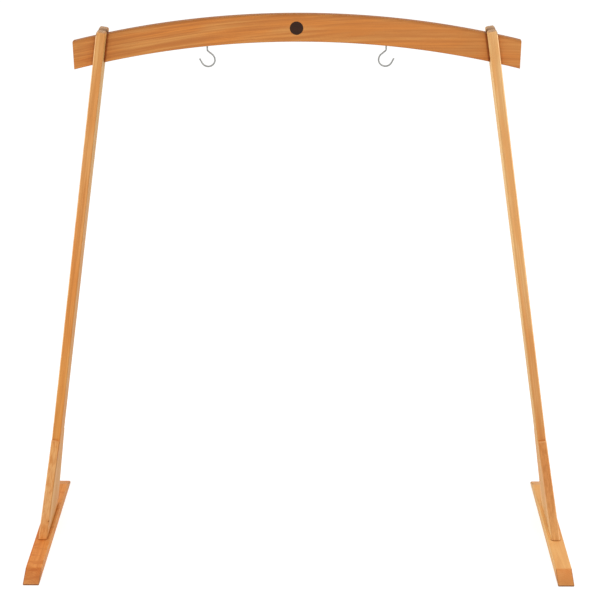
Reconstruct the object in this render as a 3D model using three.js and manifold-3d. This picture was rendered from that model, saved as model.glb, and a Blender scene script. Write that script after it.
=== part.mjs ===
// Gong stand in oiled beech: an arched crossbar with two screw hooks, dropped into the slotted tops of two
// leaning legs, each on a flat foot. Millimetres, +Z up, origin on the floor midway between the feet and
// midway along them. X runs along the crossbar and Y from the front of the stand to its back.

import * as THREE from 'three';
import { mergeVertices } from 'three/addons/utils/BufferGeometryUtils.js';
import Module from 'manifold-3d';

const wasm = await Module();
wasm.setup();

// Driving dimensions

const SEAT_GAP = 0.3;
const CUT_OVERRUN = 10;
const EDGE_ROUND = 3;
const LEG_EDGE_ROUND = 4;
const EDGE_SEGMENTS = 3;

const FOOT_SPACING = 1814;
const FOOT_WIDTH = 55;
const FOOT_THICKNESS = 30;
const FOOT_FLAT_LENGTH = 556;
const FOOT_BEVEL_RUN = 66;
const FOOT_TIP_HEIGHT = 6;
const LEG_SETBACK = 15;

const POLE_THICKNESS = 30;
const POLE_DEPTH = 90;
const POLE_LENGTH = 1816;
const POLE_TOP_STAND = 15.5;

const WEDGE_TOP_DEPTH = 9;
const WEDGE_BASE_DEPTH = 77;
const WEDGE_LENGTH = 365;

const CROSSBAR_LENGTH = 1400;
const CROSSBAR_OVERHANG = 93;
const CROSSBAR_HEIGHT = 86;
const CROSSBAR_THICKNESS = 28;
const CROSSBAR_TOP_RADIUS = 2950;
const CROSSBAR_ARC_STEPS = 36;
const NOTCH_DEPTH = 15;

const INLAY_DIAMETER = 41.5;
const INLAY_THICKNESS = 4;
const INLAY_EDGE = 0.6;
const INLAY_SIDES = 64;

const HOOK_SPACING = 560;
const HOOK_WIRE = 5;
const HOOK_LOOP_RADIUS = 21.5;
const HOOK_LOOP_OFFSET = 1.5;
const HOOK_DROP = 67;
const HOOK_OPEN_DEGREES = 208;
const HOOK_TIP_LENGTH = 16;
const HOOK_NECK_RADIUS = 7;
const HOOK_NECK_DEGREES = 50;
const HOOK_THREAD_LENGTH = 34;
const HOOK_POINT_LENGTH = 7;
const HOOK_POINT_TIP = 0.8;
const HOOK_SIDES = 12;
const HOOK_STEPS = 64;

const BOLT_SPACING = 160;
const BOLT_DIAMETER = 8;
const BOLT_LENGTH = 55;
const BOLT_HEAD_DIAMETER = 13;
const BOLT_HEAD_HEIGHT = 8;
const BOLT_SOCKET_WIDTH = 6;
const BOLT_SOCKET_DEPTH = 4;
const BOLT_END_ROOM = 3;
const WASHER_DIAMETER = 16;
const WASHER_THICKNESS = 1.6;
const COUNTERBORE_DIAMETER = 18;
const COUNTERBORE_DEPTH = 12;
const INSERT_DIAMETER = 12;
const INSERT_LENGTH = 25;
const INSERT_SINK = 0.5;
const ROUND_SIDES = 24;
const HEX_SIDES = 6;

// Values worked out from them

const footCentre = FOOT_SPACING / 2;
const legBase = FOOT_THICKNESS + SEAT_GAP;
const underRadius = CROSSBAR_TOP_RADIUS - CROSSBAR_HEIGHT;
const halfSeat = BOLT_SPACING / 2;

// Each pole leans so that its middle line meets the crossbar's top edge one overhang in from the end.
const crossingX = CROSSBAR_LENGTH / 2 - CROSSBAR_OVERHANG;
const poleReach = POLE_LENGTH - POLE_TOP_STAND;
const lean = Math.asin((footCentre - crossingX) / poleReach);
const crossingLevel = FOOT_THICKNESS + poleReach * Math.cos(lean);
const crossingDrop = Math.sqrt(CROSSBAR_TOP_RADIUS * CROSSBAR_TOP_RADIUS - crossingX * crossingX);
const arcCentre = crossingLevel - crossingDrop;

function arcHeight(radius, x) {
  return arcCentre + Math.sqrt(radius * radius - x * x);
}

function poleCentre(z) {
  return footCentre - (z - FOOT_THICKNESS) * Math.tan(lean);
}

// The pole is this wide when measured level, across its lean.
const poleLevelHalf = POLE_THICKNESS / 2 / Math.cos(lean);
const underCrossing = poleCentre(arcHeight(underRadius, crossingX));
const slotFloor = arcHeight(underRadius, underCrossing) + NOTCH_DEPTH;
const notchInner = poleCentre(slotFloor) - poleLevelHalf - SEAT_GAP;
const notchMouth = arcHeight(underRadius, underCrossing + POLE_THICKNESS);
const notchOuter = poleCentre(notchMouth) + poleLevelHalf + SEAT_GAP;

// Closed meshes to solids and back

function toSolid(geometry) {
  const bare = geometry.clone();
  bare.deleteAttribute('normal');
  bare.deleteAttribute('uv');
  const merged = mergeVertices(bare);
  const vertProperties = new Float32Array(merged.attributes.position.array);
  const triVerts = new Uint32Array(merged.index.array);
  return new wasm.Manifold(new wasm.Mesh({ numProp: 3, vertProperties, triVerts }));
}

function toGeometry(solid) {
  const mesh = solid.getMesh();
  const geometry = new THREE.BufferGeometry();
  geometry.setAttribute('position', new THREE.BufferAttribute(new Float32Array(mesh.vertProperties), 3));
  geometry.setIndex(new THREE.BufferAttribute(new Uint32Array(mesh.triVerts), 1));
  geometry.computeVertexNormals();
  return geometry;
}

function boxBetween(low, high) {
  const size = new THREE.Vector3().subVectors(high, low);
  const middle = new THREE.Vector3().addVectors(low, high).multiplyScalar(0.5);
  return new THREE.BoxGeometry(size.x, size.y, size.z).translate(middle.x, middle.y, middle.z);
}

// A round bar standing on Z, from one height to another.
function uprightBar(radius, low, high, sides) {
  const bar = new THREE.CylinderGeometry(radius, radius, high - low, sides);
  return bar.rotateX(Math.PI / 2).translate(0, 0, (low + high) / 2);
}

// A board: its outline swept through a thickness, with every edge of the outline rounded over.
function roundedBoard(outline, thickness, round) {
  return new THREE.ExtrudeGeometry(new THREE.Shape(outline), {
    depth: thickness - 2 * round,
    steps: 1,
    bevelEnabled: true,
    bevelThickness: round,
    bevelSize: round,
    bevelOffset: -round,
    bevelSegments: EDGE_SEGMENTS
  }).translate(0, 0, round - thickness / 2);
}

// Outlines drawn in depth and height are turned so that the board's thickness lies along X.
const sideView = new THREE.Matrix4().makeBasis(
  new THREE.Vector3(0, 1, 0),
  new THREE.Vector3(0, 0, 1),
  new THREE.Vector3(1, 0, 0)
);

// Outlines drawn in length and height are turned so that the thickness lies along Y.
const frontView = new THREE.Matrix4().makeRotationX(Math.PI / 2);

function points(pairs) {
  return pairs.map(([x, y]) => new THREE.Vector2(x, y));
}

// Fasteners under each foot

const washerTop = COUNTERBORE_DEPTH - SEAT_GAP;
const headTop = washerTop - WASHER_THICKNESS - SEAT_GAP;
const boltTop = headTop + BOLT_LENGTH;
const insertLow = legBase + INSERT_SINK;
const insertTop = insertLow + INSERT_LENGTH;
const boltRadius = BOLT_DIAMETER / 2;
const boltHoleRadius = boltRadius + 2 * SEAT_GAP;
const insertHoleRadius = INSERT_DIAMETER / 2 + SEAT_GAP;

function boltGeometry() {
  const headRadius = BOLT_HEAD_DIAMETER / 2;
  const profile = points([
    [0, headTop - BOLT_HEAD_HEIGHT],
    [headRadius, headTop - BOLT_HEAD_HEIGHT],
    [headRadius, headTop],
    [boltRadius, headTop],
    [boltRadius, boltTop - boltRadius / 2],
    [boltRadius / 2, boltTop],
    [0, boltTop]
  ]);
  const body = new THREE.LatheGeometry(profile, ROUND_SIDES).rotateX(Math.PI / 2);
  const socketRadius = BOLT_SOCKET_WIDTH / 2 / Math.cos(Math.PI / HEX_SIDES);
  const headBottom = headTop - BOLT_HEAD_HEIGHT;
  const socketTop = headBottom + BOLT_SOCKET_DEPTH;
  const socket = uprightBar(socketRadius, headBottom - CUT_OVERRUN, socketTop, HEX_SIDES);
  return toGeometry(toSolid(body).subtract(toSolid(socket)));
}

function ringGeometry(outer, inner, low, high) {
  const ring = points([[inner, low], [outer, low], [outer, high], [inner, high], [inner, low]]);
  return new THREE.LatheGeometry(ring, ROUND_SIDES).rotateX(Math.PI / 2);
}

// The legs, each made as one blank, and cut into a pole and its two wedges

const wedgeSlope = (WEDGE_BASE_DEPTH - WEDGE_TOP_DEPTH) / WEDGE_LENGTH;

function legOutline() {
  const half = POLE_DEPTH / 2;
  const base = half + WEDGE_BASE_DEPTH + CUT_OVERRUN * wedgeSlope;
  const shoulder = half + WEDGE_TOP_DEPTH;
  return points([
    [-base, -CUT_OVERRUN],
    [base, -CUT_OVERRUN],
    [shoulder, WEDGE_LENGTH],
    [half, WEDGE_LENGTH],
    [half, POLE_LENGTH],
    [-half, POLE_LENGTH],
    [-half, WEDGE_LENGTH],
    [-shoulder, WEDGE_LENGTH]
  ]);
}

// Everything of a leg is made upright at the middle of the stand, leaned, and stood on its foot's centre.
function legPieces(side) {
  const placing = new THREE.Matrix4().makeTranslation(side * footCentre, 0, FOOT_THICKNESS);
  placing.multiply(new THREE.Matrix4().makeRotationY(-side * lean));
  const board = roundedBoard(legOutline(), POLE_THICKNESS, LEG_EDGE_ROUND);
  const blank = board.applyMatrix4(sideView).applyMatrix4(placing);
  const reach = footCentre + POLE_LENGTH;
  const depth = POLE_DEPTH + 2 * WEDGE_BASE_DEPTH;
  const below = boxBetween(
    new THREE.Vector3(-reach, -depth, -depth),
    new THREE.Vector3(reach, depth, legBase)
  );
  let leg = toSolid(blank).subtract(toSolid(below));
  for (const end of [-1, 1]) {
    const hole = uprightBar(boltHoleRadius, FOOT_THICKNESS, boltTop + BOLT_END_ROOM, ROUND_SIDES);
    const socket = uprightBar(insertHoleRadius, FOOT_THICKNESS, insertTop + SEAT_GAP, ROUND_SIDES);
    const drilling = toSolid(hole).add(toSolid(socket));
    leg = leg.subtract(drilling.translate([side * footCentre, end * halfSeat, 0]));
  }
  const slot = boxBetween(
    new THREE.Vector3(-reach, -CROSSBAR_THICKNESS / 2 - SEAT_GAP, slotFloor),
    new THREE.Vector3(reach, CROSSBAR_THICKNESS / 2 + SEAT_GAP, reach + POLE_LENGTH)
  );
  const poleSpace = boxBetween(
    new THREE.Vector3(-reach, -POLE_DEPTH / 2, 0),
    new THREE.Vector3(reach, POLE_DEPTH / 2, reach + POLE_LENGTH)
  );
  const wedgeSpace = boxBetween(
    new THREE.Vector3(-reach, POLE_DEPTH / 2 + SEAT_GAP, 0),
    new THREE.Vector3(reach, depth, reach + POLE_LENGTH)
  );
  const rearSpace = toSolid(wedgeSpace);
  return {
    leg_pole: toGeometry(leg.intersect(toSolid(poleSpace)).subtract(toSolid(slot))),
    leg_front_wedge: toGeometry(leg.intersect(rearSpace.mirror([0, 1, 0]))),
    leg_rear_wedge: toGeometry(leg.intersect(rearSpace))
  };
}

function footGeometry() {
  const flat = FOOT_FLAT_LENGTH / 2;
  const end = flat + FOOT_BEVEL_RUN;
  const outline = points([
    [-end, 0],
    [end, 0],
    [end, FOOT_TIP_HEIGHT],
    [flat, FOOT_THICKNESS],
    [-flat, FOOT_THICKNESS],
    [-end, FOOT_TIP_HEIGHT]
  ]);
  let foot = toSolid(roundedBoard(outline, FOOT_WIDTH, EDGE_ROUND).applyMatrix4(sideView));
  for (const end of [-1, 1]) {
    const hole = uprightBar(boltHoleRadius, -CUT_OVERRUN, FOOT_THICKNESS + CUT_OVERRUN, ROUND_SIDES);
    const counterbore = uprightBar(COUNTERBORE_DIAMETER / 2, -CUT_OVERRUN, COUNTERBORE_DEPTH, ROUND_SIDES);
    const drilling = toSolid(hole).add(toSolid(counterbore));
    foot = foot.subtract(drilling.translate([0, LEG_SETBACK + end * halfSeat, 0]));
  }
  return toGeometry(foot);
}

// The crossbar, its inlay and its hooks

const inlayLevel = arcHeight(CROSSBAR_TOP_RADIUS, 0) - CROSSBAR_HEIGHT / 2;
const hookX = HOOK_SPACING / 2;
const hookRoot = arcHeight(underRadius, hookX);

function crossbarOutline() {
  const half = CROSSBAR_LENGTH / 2;
  const outline = [];
  for (let k = 0; k <= CROSSBAR_ARC_STEPS; k += 1) {
    const x = -half + CROSSBAR_LENGTH * k / CROSSBAR_ARC_STEPS;
    outline.push([x, arcHeight(underRadius, x)]);
  }
  for (let k = CROSSBAR_ARC_STEPS; k >= 0; k -= 1) {
    const x = -half + CROSSBAR_LENGTH * k / CROSSBAR_ARC_STEPS;
    outline.push([x, arcHeight(CROSSBAR_TOP_RADIUS, x)]);
  }
  return points(outline);
}

function crossbarGeometry() {
  const board = roundedBoard(crossbarOutline(), CROSSBAR_THICKNESS, EDGE_ROUND);
  let bar = toSolid(board.applyMatrix4(frontView));
  for (const side of [-1, 1]) {
    const notch = boxBetween(
      new THREE.Vector3(notchInner, -CROSSBAR_THICKNESS, slotFloor - NOTCH_DEPTH - CROSSBAR_HEIGHT / 2),
      new THREE.Vector3(notchOuter, CROSSBAR_THICKNESS, slotFloor + SEAT_GAP)
    );
    const cut = toSolid(notch);
    bar = bar.subtract(side > 0 ? cut : cut.mirror([1, 0, 0]));
    const bore = uprightBar(
      HOOK_WIRE / 2 + SEAT_GAP,
      hookRoot - CUT_OVERRUN,
      hookRoot + HOOK_THREAD_LENGTH + SEAT_GAP,
      ROUND_SIDES
    );
    bar = bar.subtract(toSolid(bore).translate([side * hookX, 0, 0]));
  }
  const recessRadius = INLAY_DIAMETER / 2 + SEAT_GAP;
  const recessDepth = INLAY_THICKNESS + SEAT_GAP;
  const reach = recessDepth + CUT_OVERRUN;
  const recess = new THREE.CylinderGeometry(recessRadius, recessRadius, reach, INLAY_SIDES);
  recess.translate(0, -CROSSBAR_THICKNESS / 2 + recessDepth - reach / 2, inlayLevel);
  return toGeometry(bar.subtract(toSolid(recess)));
}

// A disc with a small chamfer at its face, turned to look out of the crossbar's front.
function inlayGeometry() {
  const radius = INLAY_DIAMETER / 2;
  const profile = points([
    [0, -INLAY_THICKNESS],
    [radius, -INLAY_THICKNESS],
    [radius, -INLAY_EDGE],
    [radius - INLAY_EDGE, 0],
    [0, 0]
  ]);
  return new THREE.LatheGeometry(profile, INLAY_SIDES).rotateX(Math.PI);
}

// The hook's wire, from the open tip down its flank, round the loop, up to the neck, and along the shank.

function along(from, angle, distance) {
  return new THREE.Vector3(from.x + distance * Math.cos(angle), 0, from.z + distance * Math.sin(angle));
}

function straight(from, angle, length) {
  return { length, at: (distance) => along(from, angle, distance) };
}

function arc(centre, radius, start, turn) {
  const sense = Math.sign(turn);
  return {
    length: radius * Math.abs(turn),
    at: (distance) => along(centre, start + sense * distance / radius, radius)
  };
}

class HookPath extends THREE.Curve {
  constructor() {
    super();
    const quarter = Math.PI / 2;
    const open = THREE.MathUtils.degToRad(HOOK_OPEN_DEGREES);
    const bend = THREE.MathUtils.degToRad(HOOK_NECK_DEGREES);
    const loop = new THREE.Vector3(HOOK_LOOP_OFFSET, 0, HOOK_LOOP_RADIUS - HOOK_DROP);
    const tip = along(along(loop, open, HOOK_LOOP_RADIUS), open - quarter, HOOK_TIP_LENGTH);
    const loopEnd = along(loop, bend, HOOK_LOOP_RADIUS);
    const flank = (loopEnd.x - HOOK_NECK_RADIUS * (1 - Math.cos(bend))) / Math.sin(bend);
    const flankEnd = along(loopEnd, bend + quarter, flank);
    const neck = along(flankEnd, bend, HOOK_NECK_RADIUS);
    const shank = new THREE.Vector3(0, 0, neck.z);
    this.stretches = [
      straight(tip, open + quarter, HOOK_TIP_LENGTH),
      arc(loop, HOOK_LOOP_RADIUS, open, bend + 2 * Math.PI - open),
      straight(loopEnd, bend + quarter, flank),
      arc(neck, HOOK_NECK_RADIUS, bend + Math.PI, -bend),
      straight(shank, quarter, HOOK_THREAD_LENGTH - HOOK_POINT_LENGTH - neck.z)
    ];
    this.total = this.stretches.reduce((sum, stretch) => sum + stretch.length, 0);
  }

  getPoint(t, target = new THREE.Vector3()) {
    let left = t * this.total;
    const last = this.stretches.length - 1;
    let index = 0;
    while (index < last && left > this.stretches[index].length) {
      left -= this.stretches[index].length;
      index += 1;
    }
    return target.copy(this.stretches[index].at(left));
  }
}

function hookGeometry() {
  const path = new HookPath();
  const radius = HOOK_WIRE / 2;
  const section = new THREE.Shape();
  for (let k = 0; k < HOOK_SIDES; k += 1) {
    const angle = 2 * Math.PI * k / HOOK_SIDES;
    const place = new THREE.Vector2(radius * Math.cos(angle), radius * Math.sin(angle));
    if (k === 0) {
      section.moveTo(place.x, place.y);
    } else {
      section.lineTo(place.x, place.y);
    }
  }
  const wire = new THREE.ExtrudeGeometry(section, {
    steps: HOOK_STEPS,
    bevelEnabled: false,
    extrudePath: path
  });
  const point = new THREE.CylinderGeometry(HOOK_POINT_TIP, radius, HOOK_POINT_LENGTH, HOOK_SIDES);
  point.rotateX(Math.PI / 2).translate(0, 0, HOOK_THREAD_LENGTH - HOOK_POINT_LENGTH / 2);
  const tip = new THREE.SphereGeometry(radius, HOOK_SIDES, HOOK_SIDES / 2);
  const open = path.getPoint(0);
  tip.translate(open.x, open.y, open.z);
  return toGeometry(toSolid(wire).add(toSolid(point)).add(toSolid(tip)));
}

// Finishes and assembly

const beech = new THREE.MeshStandardMaterial({ color: 0xcb8346, roughness: 0.5, metalness: 0 });
const paleBeech = new THREE.MeshStandardMaterial({ color: 0xd9985a, roughness: 0.5, metalness: 0 });
const darkWood = new THREE.MeshStandardMaterial({ color: 0x3c2823, roughness: 0.45, metalness: 0 });
const zinc = new THREE.MeshStandardMaterial({ color: 0xb9bcc0, roughness: 0.3, metalness: 1 });
const brass = new THREE.MeshStandardMaterial({ color: 0xc9a552, roughness: 0.35, metalness: 1 });

function named(name, geometry, material) {
  const mesh = new THREE.Mesh(geometry, material.clone());
  mesh.name = name;
  return mesh;
}

const stand = new THREE.Group();

// Everything above the feet stands a little behind their middle.
const upper = new THREE.Group();
upper.position.y = LEG_SETBACK;
stand.add(upper);

upper.add(named('crossbar', crossbarGeometry(), beech));
const inlay = named('crossbar_inlay', inlayGeometry(), darkWood);
inlay.position.set(0, -CROSSBAR_THICKNESS / 2, inlayLevel);
upper.add(inlay);

for (const [label, side] of [['left', -1], ['right', 1]]) {
  const hook = named(`hook_${label}`, hookGeometry(), zinc);
  hook.position.set(side * hookX, 0, hookRoot);
  hook.rotation.z = side > 0 ? Math.PI : 0;
  upper.add(hook);

  const pieces = legPieces(side);
  for (const [name, geometry] of Object.entries(pieces)) {
    upper.add(named(`${label}_${name}`, geometry, paleBeech));
  }

  const foot = named(`${label}_foot`, footGeometry(), beech);
  foot.position.x = side * footCentre;
  stand.add(foot);

  for (const [place, end] of [['front', -1], ['rear', 1]]) {
    const fixing = new THREE.Group();
    fixing.position.set(side * footCentre, end * halfSeat, 0);
    fixing.add(named(`${label}_foot_bolt_${place}`, boltGeometry(), zinc));
    const inner = boltRadius + SEAT_GAP;
    const washer = ringGeometry(WASHER_DIAMETER / 2, inner, washerTop - WASHER_THICKNESS, washerTop);
    fixing.add(named(`${label}_foot_washer_${place}`, washer, zinc));
    const insert = ringGeometry(INSERT_DIAMETER / 2, inner, insertLow, insertTop);
    fixing.add(named(`${label}_leg_insert_${place}`, insert, brass));
    upper.add(fixing);
  }
}

export default stand;
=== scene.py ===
# %% [markdown]
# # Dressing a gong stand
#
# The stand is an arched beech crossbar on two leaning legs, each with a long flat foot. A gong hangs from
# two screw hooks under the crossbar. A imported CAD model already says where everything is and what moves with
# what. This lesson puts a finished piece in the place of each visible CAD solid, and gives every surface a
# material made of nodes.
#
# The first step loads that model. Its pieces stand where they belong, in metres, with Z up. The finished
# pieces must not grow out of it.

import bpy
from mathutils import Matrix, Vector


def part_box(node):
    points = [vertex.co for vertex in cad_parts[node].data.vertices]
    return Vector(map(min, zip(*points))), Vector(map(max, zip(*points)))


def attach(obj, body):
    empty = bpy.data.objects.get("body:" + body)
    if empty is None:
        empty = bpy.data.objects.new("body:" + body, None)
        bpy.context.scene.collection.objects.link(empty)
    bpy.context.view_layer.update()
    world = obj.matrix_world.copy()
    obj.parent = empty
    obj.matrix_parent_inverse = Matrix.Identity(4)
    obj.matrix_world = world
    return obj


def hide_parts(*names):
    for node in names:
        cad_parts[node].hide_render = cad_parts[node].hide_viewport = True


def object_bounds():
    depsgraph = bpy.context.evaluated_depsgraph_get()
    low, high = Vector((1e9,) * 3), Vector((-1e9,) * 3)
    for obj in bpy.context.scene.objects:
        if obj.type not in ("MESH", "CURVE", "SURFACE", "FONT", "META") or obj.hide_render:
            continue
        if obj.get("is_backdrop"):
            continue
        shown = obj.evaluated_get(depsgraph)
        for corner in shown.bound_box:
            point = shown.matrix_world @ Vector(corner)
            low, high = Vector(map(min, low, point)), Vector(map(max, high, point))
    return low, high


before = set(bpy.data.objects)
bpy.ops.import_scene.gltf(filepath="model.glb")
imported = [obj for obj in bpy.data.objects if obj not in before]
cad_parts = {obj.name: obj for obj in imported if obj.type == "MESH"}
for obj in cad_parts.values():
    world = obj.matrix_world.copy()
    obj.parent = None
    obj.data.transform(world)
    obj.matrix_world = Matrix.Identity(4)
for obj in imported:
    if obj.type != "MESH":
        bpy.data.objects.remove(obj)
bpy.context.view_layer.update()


def show(corner):
    """A corner of a box, short enough to print."""
    return [round(value, 4) for value in corner]


# %% The modules that the lesson uses
import math

import bmesh
import bpy
from mathutils import Matrix, Vector

scene = bpy.context.scene

# %% [markdown]
# ## The stand's sizes
#
# The lengths are the CAD model's own, written once, in metres. Everything that follows from them is worked
# out: each leg leans until its middle line meets the crossbar's top edge, one overhang in from the
# crossbar's end. That fixes the lean, and the height of the arc on which the crossbar is drawn. The legs and
# the crossbar stand a little behind the middle of the feet. The last four sizes are the roundings of the
# finished wood.

# %% The CAD model's sizes
SIDES = (("left", -1), ("right", 1))
SEAT_GAP = 0.0003

FOOT_SPACING = 1.814
FOOT_WIDTH = 0.055
FOOT_THICKNESS = 0.030
FOOT_FLAT_LENGTH = 0.556
FOOT_BEVEL_RUN = 0.066
FOOT_TIP_HEIGHT = 0.006
LEG_SETBACK = 0.015

POLE_THICKNESS = 0.030
POLE_DEPTH = 0.090
POLE_LENGTH = 1.816
POLE_TOP_STAND = 0.0155

WEDGE_TOP_DEPTH = 0.009
WEDGE_BASE_DEPTH = 0.077
WEDGE_LENGTH = 0.365

CROSSBAR_LENGTH = 1.400
CROSSBAR_OVERHANG = 0.093
CROSSBAR_HEIGHT = 0.086
CROSSBAR_THICKNESS = 0.028
CROSSBAR_TOP_RADIUS = 2.950
NOTCH_DEPTH = 0.015

INLAY_DIAMETER = 0.0415
INLAY_THICKNESS = 0.004

EDGE_ROUND = 0.003
FOOT_EDGE_ROUND = 0.0027
LEG_EDGE_ROUND = 0.006
WEDGE_EDGE_ROUND = 0.0085

# %% What follows from them
under_radius = CROSSBAR_TOP_RADIUS - CROSSBAR_HEIGHT
foot_x = FOOT_SPACING / 2
foot_flat = FOOT_FLAT_LENGTH / 2
foot_tip = foot_flat + FOOT_BEVEL_RUN
half_pole = POLE_DEPTH / 2
crossing_x = CROSSBAR_LENGTH / 2 - CROSSBAR_OVERHANG
pole_reach = POLE_LENGTH - POLE_TOP_STAND
lean = math.asin((foot_x - crossing_x) / pole_reach)
crossing_z = FOOT_THICKNESS + pole_reach * math.cos(lean)
arc_z = crossing_z - math.sqrt(CROSSBAR_TOP_RADIUS ** 2 - crossing_x ** 2)
crossbar_z = arc_z + CROSSBAR_TOP_RADIUS - CROSSBAR_HEIGHT / 2


def arc_height(radius, x):
    """The height of an arc of the crossbar at a distance from the stand's middle."""
    return arc_z + math.sqrt(radius ** 2 - x ** 2)


def pole_x(z):
    """How far from the stand's middle a pole's middle line is, at a height."""
    return foot_x - (z - FOOT_THICKNESS) * math.tan(lean)


pole_level_half = POLE_THICKNESS / 2 / math.cos(lean)
under_crossing = pole_x(arc_height(under_radius, crossing_x))
slot_floor = arc_height(under_radius, under_crossing) + NOTCH_DEPTH
notch_inner = pole_x(slot_floor) - pole_level_half - SEAT_GAP
notch_outer = pole_x(arc_height(under_radius, under_crossing + POLE_THICKNESS)) + pole_level_half + SEAT_GAP

print("the legs lean", round(math.degrees(lean), 3), "degrees")
cad_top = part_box("crossbar")[1][2]
print("the crossbar's top is at", round(arc_z + CROSSBAR_TOP_RADIUS, 4), "m, and its box says", cad_top)

# %% [markdown]
# ## The camera
#
# The photograph was taken from about a metre above head height and four and a half metres in front of the
# stand, looking down at it. Its place, its tilt and its focal length were solved from the edges of the legs,
# feet and crossbar, so the render can be laid over the photograph. A camera looks along its own -Z, so it is
# first tipped up from looking straight down, then turned to its heading. The small roll comes before both.

# %% The camera
CAMERA_PLACE = (0.0589, -4.39072, 2.79459)
CAMERA_DOWN = 23.254
CAMERA_HEADING = 0.6766
CAMERA_ROLL = -0.2579
FOCAL_PIXELS = 1423.4
PHOTO_WIDTH = 600
SENSOR_WIDTH = 36
CLIP_END = 100

camera_data = bpy.data.cameras.new("photo camera")
camera_data.sensor_width = SENSOR_WIDTH
camera_data.lens = FOCAL_PIXELS / PHOTO_WIDTH * SENSOR_WIDTH
camera_data.clip_end = CLIP_END
camera = bpy.data.objects.new("photo camera", camera_data)
scene.collection.objects.link(camera)
heading = Matrix.Rotation(math.radians(CAMERA_HEADING), 4, "Z")
tip = Matrix.Rotation(math.radians(90 - CAMERA_DOWN), 4, "X")
roll = Matrix.Rotation(math.radians(CAMERA_ROLL), 4, "Z")
camera.matrix_world = Matrix.Translation(CAMERA_PLACE) @ heading @ tip @ roll
scene.camera = camera
print("lens", round(camera_data.lens, 2), "mm")

# %% [markdown]
# ## Floor, background and light
#
# The photograph is a studio shot: a bright, even room of white, with soft light from the front and a
# stronger glow from each side that picks out the rounded outer edges of the legs. A colour should render
# about as it is written, so the room and the lamps together give a surface a light of about one.
#
# The white of the background isn't made with more light. The world and the floor show themselves to the
# camera, and to glossy and transmitted rays, as white, while the light that they give the stand stays as it
# was. The floor keeps a part of its own shading, so the stand's shadow still falls on it.

# %% Small helpers for wiring nodes
def feed(tree, socket, source):
    """Sets a socket to a plain value, or links another node's output to it."""
    if isinstance(source, bpy.types.NodeSocket):
        tree.links.new(source, socket)
    elif source is not None:
        socket.default_value = source


def add(tree, kind, inputs=None, **settings):
    """Adds a node by its short type name, with its settings and its inputs, given by name or number."""
    made = tree.nodes.new("ShaderNode" + kind)
    for name, value in settings.items():
        setattr(made, name, value)
    for name, source in (inputs or {}).items():
        feed(tree, made.inputs[name], source)
    return made


def maths(tree, operation, *sources, clamp=False):
    """One sum on numbers, such as ADD or FLOOR."""
    return add(tree, "Math", dict(enumerate(sources)), operation=operation, use_clamp=clamp).outputs[0]


def larger(tree, first, second):
    """The larger of two numbers or masks."""
    return maths(tree, "MAXIMUM", first, second)


# %% The white room
WHITE = (1, 1, 1, 1)
ROOM_LIGHT = 0.74


def seen_directly(tree):
    """One for the camera's rays and those that a glossy or clear surface sends on, and nought for others."""
    path = add(tree, "LightPath").outputs
    direct = larger(tree, path["Is Camera Ray"], path["Is Glossy Ray"])
    return larger(tree, direct, path["Is Transmission Ray"])


world = bpy.data.worlds.new("white room")
world.use_nodes = True
scene.world = world
room = world.node_tree
room.nodes.clear()
room_light = add(room, "Background", {"Color": WHITE, "Strength": ROOM_LIGHT})
room_seen = add(room, "Background", {"Color": WHITE, "Strength": 1.0})
room_mix = add(room, "MixShader", {0: seen_directly(room), 1: room_light.outputs[0], 2: room_seen.outputs[0]})
add(room, "OutputWorld", {"Surface": room_mix.outputs[0]})
print(world.name, "gives a light of", ROOM_LIGHT)

# %% The floor
FLOOR_REACH = 25
FLOOR_PALE = (0.84, 0.84, 0.84, 1)
FLOOR_SHADE = (0.40, 0.40, 0.40, 1)
FLOOR_GLOW = 0.76

floor_mesh = bpy.data.meshes.new("floor")
sheet = bmesh.new()
bmesh.ops.create_grid(sheet, x_segments=1, y_segments=1, size=FLOOR_REACH)
sheet.to_mesh(floor_mesh)
sheet.free()
floor = bpy.data.objects.new("floor", floor_mesh)
scene.collection.objects.link(floor)
floor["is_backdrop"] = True

floor_paint = bpy.data.materials.new("pale floor")
floor_paint.use_nodes = True
paint = floor_paint.node_tree
paint.nodes.clear()
floor_matt = add(paint, "BsdfDiffuse", {"Color": FLOOR_PALE})
floor_shade = add(paint, "BsdfDiffuse", {"Color": FLOOR_SHADE})
floor_glow = add(paint, "Emission", {"Color": WHITE, "Strength": FLOOR_GLOW})
floor_seen = add(paint, "AddShader", {0: floor_shade.outputs[0], 1: floor_glow.outputs[0]})
floor_mix = {0: seen_directly(paint), 1: floor_matt.outputs[0], 2: floor_seen.outputs[0]}
add(paint, "OutputMaterial", {"Surface": add(paint, "MixShader", floor_mix).outputs[0]})
floor_mesh.materials.append(floor_paint)
print("the floor is", 2 * FLOOR_REACH, "m wide")

# %% The soft lamps
def soft_lamp(name, place, aim, width, height, power):
    """A rectangular lamp that faces a point."""
    data = bpy.data.lights.new(name, "AREA")
    data.shape = "RECTANGLE"
    data.size = width
    data.size_y = height
    data.energy = power
    lamp = bpy.data.objects.new(name, data)
    lamp.location = place
    lamp.rotation_euler = (Vector(aim) - Vector(place)).to_track_quat("-Z", "Y").to_euler()
    scene.collection.objects.link(lamp)


soft_lamp("front left", (-2.6, -5.2, 4.2), (0, 0, 0.9), 3.0, 3.0, 47)
soft_lamp("front right", (2.8, -5.0, 4.2), (0, 0, 0.9), 3.0, 3.0, 54)
soft_lamp("left side", (-4.2, -0.9, 2.2), (-0.6, 0, 1.1), 1.2, 3.2, 42)
soft_lamp("right side", (4.2, -0.9, 2.2), (0.6, 0, 1.1), 1.2, 3.2, 60)

scene.view_settings.view_transform = "Standard"

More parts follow.
